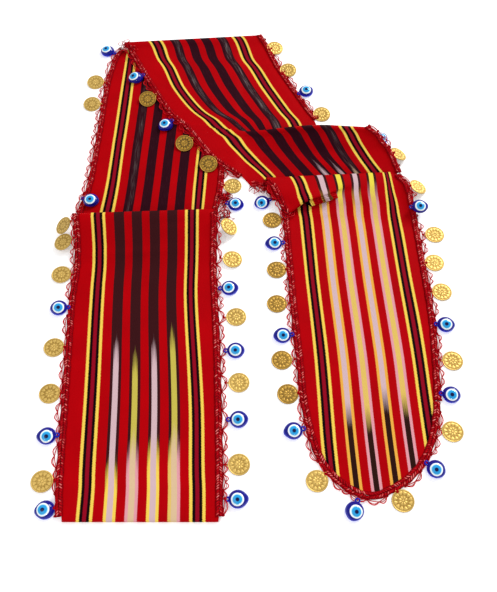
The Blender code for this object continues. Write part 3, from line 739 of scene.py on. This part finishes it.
def chains(run):
    """Two columns of slanting stitches that meet in chevrons, on a flat braid of threads painted darker as
    the shade between the stitches.
    """
    strands = []
    along = np.arange(0.0, run.length, 1.3)
    for number, out in enumerate(np.linspace(run.inner + 0.5, run.inner + 5.4, 4)):
        sway = 0.3 * np.sin(along / 2.3 + number * 2.0)
        # The braid's threads get a low shade: painted shade where it shows between the stitches.
        shade = 0.3 + 0.16 * np.sin(along * 1.9 + number * 1.3)
        strands.append((run.out(along, out + sway, above(out) - 0.4), 1.0, shade))
    t = np.linspace(-1, 1, 5)
    slim = 0.54 - 0.22 * t * t
    for middle, hand in ((run.inner + 1.5, 1), (run.inner + 4.3, -1)):
        place = dice.uniform(1.0, 2.0)
        while place < run.length - 1.5:
            # Each stitch's first thread is painted lit, some with a painted pink glint; its second thread
            # and its ends are painted darker, as shade.
            bright = dice.uniform(0.75, 1.05) + (dice.random() < 0.45) * dice.uniform(0.25, 0.5)
            lean = dice.uniform(1.2, 1.6)
            for step, shade in ((0.0, bright), (1.15, dice.uniform(0.3, 0.6))):
                out = middle + hand * t * lean + dice.uniform(-0.2, 0.2)
                rise = above(out) + 0.3 + 0.5 * (1 - t * t)
                reach = np.clip(place + step + t * dice.uniform(1.1, 1.5), 0.0, run.length)
                strands.append((run.out(reach, out, rise), slim, shade * (1 - 0.3 * t * t)))
            place += dice.uniform(2.1, 2.8)
    return strands


def knot(run, along, out, rise, size, shade):
    turn = np.linspace(0, 6 * math.pi, 34)
    swell = (0.75 + 0.35 * np.sin(turn / 6)) * size
    return (run.out(np.clip(along + swell * np.cos(turn), 0.2, run.length - 0.2),
                    out + swell * np.sin(turn), rise + turn * 0.05), 0.44, shade + 0.25 * np.sin(turn * 2.3))


def clears(line, clear):
    """Whether a line stays outside these circles."""
    return all(np.linalg.norm(line[:, :2] - middle[:2], axis=1).min() > radius for middle, radius in clear)


def hung_loops(run, hangers, clear):
    """Long thin loops along the braid, most of them drawn out to a pendant's knot."""
    strands = []
    low = run.inner + 6.0
    marks = [0.0, *sorted(along for along, _ in hangers), run.length]
    free = []
    for start, end in zip(marks, marks[1:]):
        count = int((end - start) // 27)
        for number in range(count):
            middle = start + (end - start) * (number + 1) / (count + 1)
            free.append((middle + dice.uniform(-2, 2), low + dice.uniform(1.5, 3.0), False))
    tops = sorted([(along, out, True) for along, out in hangers] + free)
    feet = [max(0.5, tops[0][0] - 15)]
    feet += [(a[0] + b[0]) / 2 + dice.uniform(-1.5, 1.5) for a, b in zip(tops, tops[1:])]
    feet.append(min(run.length - 0.5, tops[-1][0] + 15))
    t = np.linspace(0, 1, 13)
    for (top, reach, tied), before, after in zip(tops, feet, feet[1:]):
        for foot in (before, after):
            for bulge, half, shade in ((3.4, 0.46, 0.75), (2.1, 0.3, 0.5), (0.3, 0.42, 0.6)):
                bulge = bulge * dice.uniform(0.8, 1.2)
                along = foot + (top - foot) * t
                rise = 0.25 + np.sin(np.pi * t) * dice.uniform(0.0, 1.1)
                for _ in range(14):
                    out = low + (reach - low) * t + bulge * np.sin(np.pi * t)
                    if clears(run.out(along, out)[:-2], clear):
                        break
                    bulge -= 0.5
                # Each loop thread is painted lighter towards its raised middle.
                strands.append((run.out(along, out, rise), half, shade + 0.3 * np.sin(np.pi * t)))
        if tied:
            strands.append(knot(run, top, reach, 0.4, 0.85, 0.75))
    for foot in feet:
        strands.append(knot(run, foot, low, 0.4, 1.15, 0.5))
    return strands


def pendant_place(run, along, out, drop):
    """Where a pendant's middle is, and the ways away from the edging, sideways and up."""
    centre = run.out(along, out, drop)
    away = unit(centre - run.out(along, 2.3))
    side = unit(np.cross(away, UP))
    return centre, away, side, np.cross(side, away)


def coin_place(name, run, along, out, drop):
    """A coin's middle and its three ways. Its far side is raised where it leans on the edging."""
    centre, *ways = pendant_place(run, along, out, drop)
    tilt = math.radians(COIN_TILT.get(name, 0.0))
    turned = [np.array(Matrix.Rotation(tilt, 3, "X") @ Vector(way)) for way in ways]
    return centre + 0.7 * COIN_HALF * math.sin(tilt) * UP, *turned


def tangle(centre, spread, count, rises, clear):
    """Slack loops of thread that lie over each other, clear of what hangs near them."""
    strands = []
    t = np.linspace(0, math.tau, 26)
    while len(strands) < count:
        middle = np.array(centre) + dice.uniform(-1, 1, 2) * spread
        long, wide = dice.uniform(4.0, 8.0), dice.uniform(1.2, 3.0)
        turn = dice.uniform(0, math.pi)
        x = long * np.cos(t) + 0.8 * np.sin(2 * t + dice.uniform(0, 6))
        y = wide * np.sin(t) + 0.7 * np.sin(3 * t + dice.uniform(0, 6))
        z = dice.uniform(*rises) + 0.7 * np.sin(t + dice.uniform(0, 6))
        line = np.stack([middle[0] + x * math.cos(turn) - y * math.sin(turn),
                         middle[1] + x * math.sin(turn) + y * math.cos(turn), np.maximum(z, 0.45)], axis=1)
        shade = dice.uniform(0.25, 0.9) + 0.35 * np.sin(3 * t + dice.uniform(0, 6))
        if clears(line, clear):
            strands.append((line, 0.38, shade))
    return strands


# The left ridge hides the first rows of points of the back edging.
RIDGE_ROWS = 7
runs = {
    "left_west": Run(edge(left, 3, 14, 0), -1, -0.8),
    "left_east": Run(edge(left, 3, 13, -1), 1, -2.4),
    "back_west": Run(edge(back, 0, 8, 0)[RIDGE_ROWS:], -1),
    "back_east": Run(edge(back, 0, 3, -1)[RIDGE_ROWS:], 1),
    "top_west": Run(np.concatenate([edge(top, 3, 11, 0), edge(bridge, 0, 12, 0)]), 1, -1.2),
    "top_east": Run(edge(top, 3, 10, -1), -1, -0.8),
    "bridge_east": Run(edge(bridge, 5, 12, -1), -1, -1.0),
    "right_west": Run(edge(right, 4, 15, 0), 1, -1.5, edge(right_plain, 4, 15, 0)),
    "right_tip": Run(np.concatenate([edge(right, 15, 21, 0), edge(right, 15, 21, -1)[::-1]]), 1),
    "right_east": Run(edge(right, 4, 15, -1)[::-1], 1, -1.5, edge(right_plain, 4, 15, -1)[::-1])}
# A coin is how far along its run it hangs, how far out and how far above the edge there.
coin_places = {
    "left_west": [(33, 17.5, 0), (116, 17, 0), (164, 16.5, 0), (245, 17.5, 0), (286, 18, -5),
                  (307, 17.5, -10)],
    "left_east": [(46, 18, 0), (125, 20.5, 0), (195, 21, 0), (264, 20, -2), (303, 16, -9)],
    "back_west": [(167.4, 15.5, 0), (202.4, 16.5, 0)],
    "back_east": [(43.7, 15, 0)],
    "top_west": [(98, 16, 0), (180, 18, 0), (218, 12.5, 0)],
    "top_east": [(26, 11, -1), (67, 11, 0), (149, 12, 0)],
    "bridge_east": [(42, 12.5, -5)],
    "right_west": [(54, 16.5, 0), (114, 15.5, 0), (154, 18, 0), (216, 18.5, 0), (251, 15.5, 0)],
    "right_tip": [(70, 15.5, 0), (134, 14.5, 0), (205, 18, 0)],
    "right_east": [(42, 18, 0), (117, 16, 0), (152, 14, 0), (187, 20, 0), (245, 16, -6)]}
# A bead is how far along its run it hangs, how far out and how high its flat back lies.
bead_places = {
    "left_west": [(8, 14.2, 0), (74, 16, 0), (207, 14.4, 0)],
    "left_east": [(15, 16.5, 0), (88, 19, 0), (158, 18.5, 0), (228, 16, 0)],
    "back_west": [(25.4, -6.5, 1.7), (251.4, 15.5, 0)],
    "back_east": [(19.7, 22, 0)],
    "top_west": [(59, 14.2, 1.5), (140, 18, 1.5)],
    "top_east": [(108, 14.2, 0)],
    "bridge_east": [(14, 15, 0)],
    "right_west": [(18, 19, 0), (82, 16, 0), (190, 15.5, 0)],
    "right_tip": [(27, 16.5, 0), (102, 17.5, 0), (170, 14.2, 0)],
    "right_east": [(7, 14.2, 0), (80, 14.2, 0), (218, 8, 6.9)]}
COIN_HALF, BEAD_HALF = 10.0, 8.3
COIN_TILT = {"top_west": 16.0, "back_west": 9.0, "top_east": 9.0}
COIN_KNOT, BEAD_KNOT = 12.6, 11.4    # from a pendant's middle in to the knot of its loop
LUG_HIGH = 2.6
EMPTY_KNOTS = {"back_west": [(113.4, 7.6)]}
hanging = []
crochet_finish = red_thread()
for name, run in runs.items():
    hangers, clear = EMPTY_KNOTS.get(name, [])[:], []
    for places, half, to_knot in ((coin_places, COIN_HALF + 0.2, COIN_KNOT),
                                  (bead_places, BEAD_HALF + 0.6, BEAD_KNOT)):
        outside = [(along, out) for along, out, _ in places[name] if out > 0]
        clear += [(run.out(along, out), half) for along, out in outside]
        hangers += [(along, max(out - to_knot, run.inner + 7.0)) for along, out in outside]
    hanging += clear
    strands = chains(run) + hung_loops(run, hangers, clear)
    for along, out, drop in coin_places[name]:
        centre, away, side, face = coin_place(name, run, along, out, drop)
        ring = centre - away * (COIN_HALF + 0.9)
        start = run.out(along, max(out - COIN_KNOT, run.inner + 6.0), 0.6)
        for lean in (-0.5, 0.6):
            tie = [start - side * lean * 2, start + side * lean, (start + ring) / 2 + face * 0.5,
                   ring + side * lean * 0.6 + face * 0.5, ring + away * 0.5 - face * 0.3]
            strands.append((tie, 0.34, 0.8))
    for along, out, base in bead_places[name]:
        centre, away, side, face = pendant_place(run, along, out, 0)
        centre[2] = base
        eye = centre - away * (BEAD_HALF + 1.6) + LUG_HIGH * UP
        start = run.out(along, max(out - BEAD_KNOT, run.inner + 5.0), 0.7)
        for lean in (-0.7, 0.0, 0.7):
            tie = [start - side * lean, start + side * lean, (start + eye) / 2 + side * lean + face * 0.8,
                   eye + side * lean * 0.5 + face * 0.7, eye + away * 0.8 - face * 0.4]
            strands.append((tie, 0.32, 0.8))
    crochet = spun("crochet_" + name, strands, crochet_finish)
    put(crochet, "edging_" + name)

slack = []
for centre, spread, count, rises in (
        ((-27, 52), (4, 13), 26, (0.8, 4.0)), ((-28, 22), (3, 8), 10, (0.8, 3.0)),
        ((11, 61), (8, 4), 22, (1.4, 6.0)), ((28, 54), (5, 8), 44, (3.0, 9.0)),
        ((-150, 279), (8, 5), 9, (6.2, 7.6))):
    slack += tangle(centre, spread, count, rises, hanging)
put(spun("slack_crochet_threads", slack, crochet_finish))


# The coins: thin stamped brass discs with a gilt wash, a raised rim, a ring of leaves and a
# plain rosette. Each hangs from its loop by a wire ring. Those over the cloth are coloured
# darker, and the right stretch's west row is duller.
def gilt(name, deep, bright):
    brass = Finish(name, Metallic=0.6, Roughness=0.4)
    out, high, turn = brass.lay()
    worn = brass.speckle(brass.vector(out, turn * 9.0, high), 1.1)
    batch = brass.speckle(brass.node("ShaderNodeTexCoord", output="Object"), 0.03, 0.0)
    # The raised stamp is mixed brighter and its hollows darker: painted shade in the recesses, along with
    # random wear and tone from coin to coin.
    ridge = high.ease(0.0, 0.2)
    gold = brass.mix(deep, bright, ridge * 0.9 + worn * 0.4 + batch * 0.5 - 0.35)
    brass.paint(Base_Color=gold, Roughness=0.5 - ridge * 0.14 + worn * 0.1)
    brass.relief(worn, 0.00008)
    return brass.made


def stamped(out, turn):
    """How far the stamp raises the face, in millimetres."""
    rim = smooth((out - 8.9) / 0.35) * (1 - smooth((out - 9.75) / 0.25))
    off = np.abs((turn / math.tau * 12) % 1 - 0.5) * 2
    leaves = smooth((out * 0.115 - off) / 0.25) * smooth((out - 4.9) / 0.8) * (1 - smooth((out - 7.7) / 0.6))
    petal = np.abs(np.sin(turn * 4))
    rosette = petal * smooth((out - 1.3) / 0.4) * (1 - smooth((out - 3.4) / 0.7))
    middle = 1 - smooth((out - 0.8) / 0.35)
    ring = 0.7 * np.exp(-((out - 4.5) / 0.2) ** 2) + 0.6 * np.exp(-((out - 8.5) / 0.2) ** 2)
    return 0.3 * np.maximum.reduce([rim, leaves, rosette, middle, ring])


COIN_POINTS = 60


def coin_part(centre, away, side, face):
    """One coin. Its lay is how far out a point is, how far it is raised and where round."""
    fronts = np.concatenate([np.linspace(0.3, 8.7, 22), [9.0, 9.3, 9.7, 9.9, 10.0]])
    backs = np.array([10.0, 9.4, 5.0, 0.5])
    turns = np.arange(COIN_POINTS) / COIN_POINTS * math.tau
    out, turn = np.meshgrid(np.concatenate([fronts, backs]), turns, indexing="ij")
    front = np.arange(len(out))[:, None] < len(fronts)
    high = np.where(front, stamped(out, turn), 0.0)
    level = np.where(front, 0.25 + high, -0.32)
    across = np.cos(turn) * out
    up = np.sin(turn) * out
    points = centre + across[..., None] * side + up[..., None] * away + level[..., None] * face
    lay = np.stack([out, high, turn], axis=-1)
    return points.reshape(-1, 3), lay.reshape(-1, 3), hoops(len(points), COIN_POINTS, -1)


fresh_gilt = gilt("gilt_brass", tint(150, 115, 42), tint(216, 181, 98))
dull_gilt = gilt("dull_gilt_brass", tint(112, 80, 16), tint(184, 144, 58))
darker_gilt = gilt("darker_gilt_brass", tint(34, 20, 2), tint(176, 134, 44))
GILT_OF_RUN = {"top_west": darker_gilt, "right_west": dull_gilt}
for name, run in runs.items():
    coin_finish = GILT_OF_RUN.get(name, fresh_gilt)
    coins, rings = [], []
    for along, out, drop in coin_places[name]:
        centre, away, side, face = coin_place(name, run, along, out, drop)
        twist = dice.uniform(0, math.tau)
        coins.append(coin_part(centre, away * math.cos(twist) + side * math.sin(twist),
                               side * math.cos(twist) - away * math.sin(twist), face))
        turn = np.linspace(0, math.tau, 19)[:, None]
        middle = centre - away * (COIN_HALF + 0.55) + face * 0.15
        wire = middle + 1.35 * (np.cos(turn) * away + np.sin(turn) * (side * 0.8 + face * 0.6))
        rings.append((wire, 0.27, 0.0))
    put(piece_of("coins_" + name, coins, coin_finish, sharp=50))
    put(spun("coin_links_" + name, rings, coin_finish, 8))


# The eye beads: pressed blue glass with a flat back and a domed front, on which rings of white
# and light blue glass and a dark pupil are dropped. A lug with a hole takes the thread.
def blue_glass():
    glass = Finish("blue_eye_glass", Roughness=0.06, Specular_IOR_Level=0.3)
    x, y, z = glass.lay()
    place = glass.node("ShaderNodeTexCoord", output="Object")
    high = glass.node("ShaderNodeSeparateXYZ", None, {0: place}, output=2) * 1000.0
    wobble = (glass.speckle(place, 0.006) - 0.5) * 0.7
    ring = x.sum("SQRT", x * x + y * y) + wobble + z.ease(0.5, -0.5) * 20.0
    # The glass body is painted bright cobalt low down and deep navy higher up: painted light, for light
    # shining through the glass at its lower rim.
    colour = glass.mix(tint(8, 36, 206), tint(8, 10, 128), high.ease(0.5, 5.0))
    for shade, outer, inner in (
            ((238, 243, 246), 5.8, 5.5), ((140, 206, 236), 4.75, 4.35), ((32, 150, 210), 4.2, 3.8),
            ((14, 60, 140), 2.1, 1.6), ((5, 10, 54), 1.7, 1.3)):
        colour = glass.mix(colour, tint(*shade), ring.ease(outer, inner))
    glass.paint(Base_Color=colour)
    return glass.made


BEAD_PROFILE = [(0, 7.5), (1.6, 7.45), (3, 7.2), (4.5, 6.7), (6, 5.85), (6.9, 5.1),
                (7.5, 4.3), (7.95, 3.4), (8.25, 2.5), (8.3, 1.9), (8.1, 1.1), (7.5, 0.4), (6.9, 0)]
EYES_LEAN = {"back_west_2": (-2.0, 2.0), "top_west_1": (-3.6, 0.4), "top_west_2": (-1.6, 0.4),
             "left_west_1": (-1.6, 1.0), "right_west_1": (-1.2, -2.2), "bridge_east_1": (1.6, 0.6),
             "right_tip_2": (0.9, -0.3), "top_east_1": (0.4, 0.8)}
BEAD_POINTS, LUG_RINGS, LUG_POINTS = 56, 16, 8
profile = rounded(BEAD_PROFILE, 2)[1:]
outs, turn = np.meshgrid(profile[:, 0], np.arange(BEAD_POINTS) / BEAD_POINTS * math.tau, indexing="ij")
ring, tube = np.meshgrid(np.linspace(0, math.tau, LUG_RINGS + 1)[:-1],
                         np.arange(LUG_POINTS) / LUG_POINTS * math.tau, indexing="ij")
index = np.arange(ring.size).reshape(ring.shape)
onward = np.roll(index, -1, axis=0)
lug_faces = np.stack([index, onward, np.roll(onward, -1, axis=1), np.roll(index, -1, axis=1)], axis=-1)
lug_faces = lug_faces.reshape(-1, 4).tolist()
glass_finish = blue_glass()
for name, run in runs.items():
    for number, (along, out, base) in enumerate(bead_places[name], 1):
        centre, away, *_ = pendant_place(run, along, out, 0)
        away = unit(away * (1, 1, 0))
        side = np.cross(away, UP)
        centre[2] = base
        bend = ((turn - math.pi / 2 + math.pi) % math.tau - math.pi) / 0.5
        point = dice.uniform(0.06, 0.17) * np.exp(-bend ** 2)
        wide = outs * (1 + point * smooth((outs - 6.0) / 2.0))
        points = centre + (wide * np.cos(turn))[..., None] * side
        points = points + (wide * np.sin(turn))[..., None] * away + profile[:, 1, None, None] * UP
        label = "%s_%d" % (name, number)
        lean = np.array([*EYES_LEAN.get(label, dice.uniform(-0.4, 0.4, 2)), 0.0]) - away * 0.4 - (0, 2.1, 0)
        eye = unit(lean + 6.0 * UP)
        right_of = unit(np.cross((0.0, 1.0, 0.0), eye))
        from_middle = points - (centre + 1.2 * UP)
        above_eye = np.cross(eye, right_of)
        lay = np.stack([from_middle @ right_of, from_middle @ above_eye, from_middle @ eye], axis=-1)
        body = points.reshape(-1, 3), lay.reshape(-1, 3), hoops(len(profile), BEAD_POINTS, -1)
        bend = 1.75 + 0.85 * np.cos(tube)
        points = (centre - away * (BEAD_HALF + 0.9) + LUG_HIGH * UP + (bend * np.cos(ring))[..., None] * away
                  + (bend * np.sin(ring))[..., None] * side + (0.95 * np.sin(tube))[..., None] * UP)
        lug = points.reshape(-1, 3), np.tile([[9.0, 2.0, 0.0]], (ring.size, 1)), lug_faces
        bead = piece_of("glass_eye_" + label, [body, lug], glass_finish, sharp=60)
        put(bead, "bead_" + label)
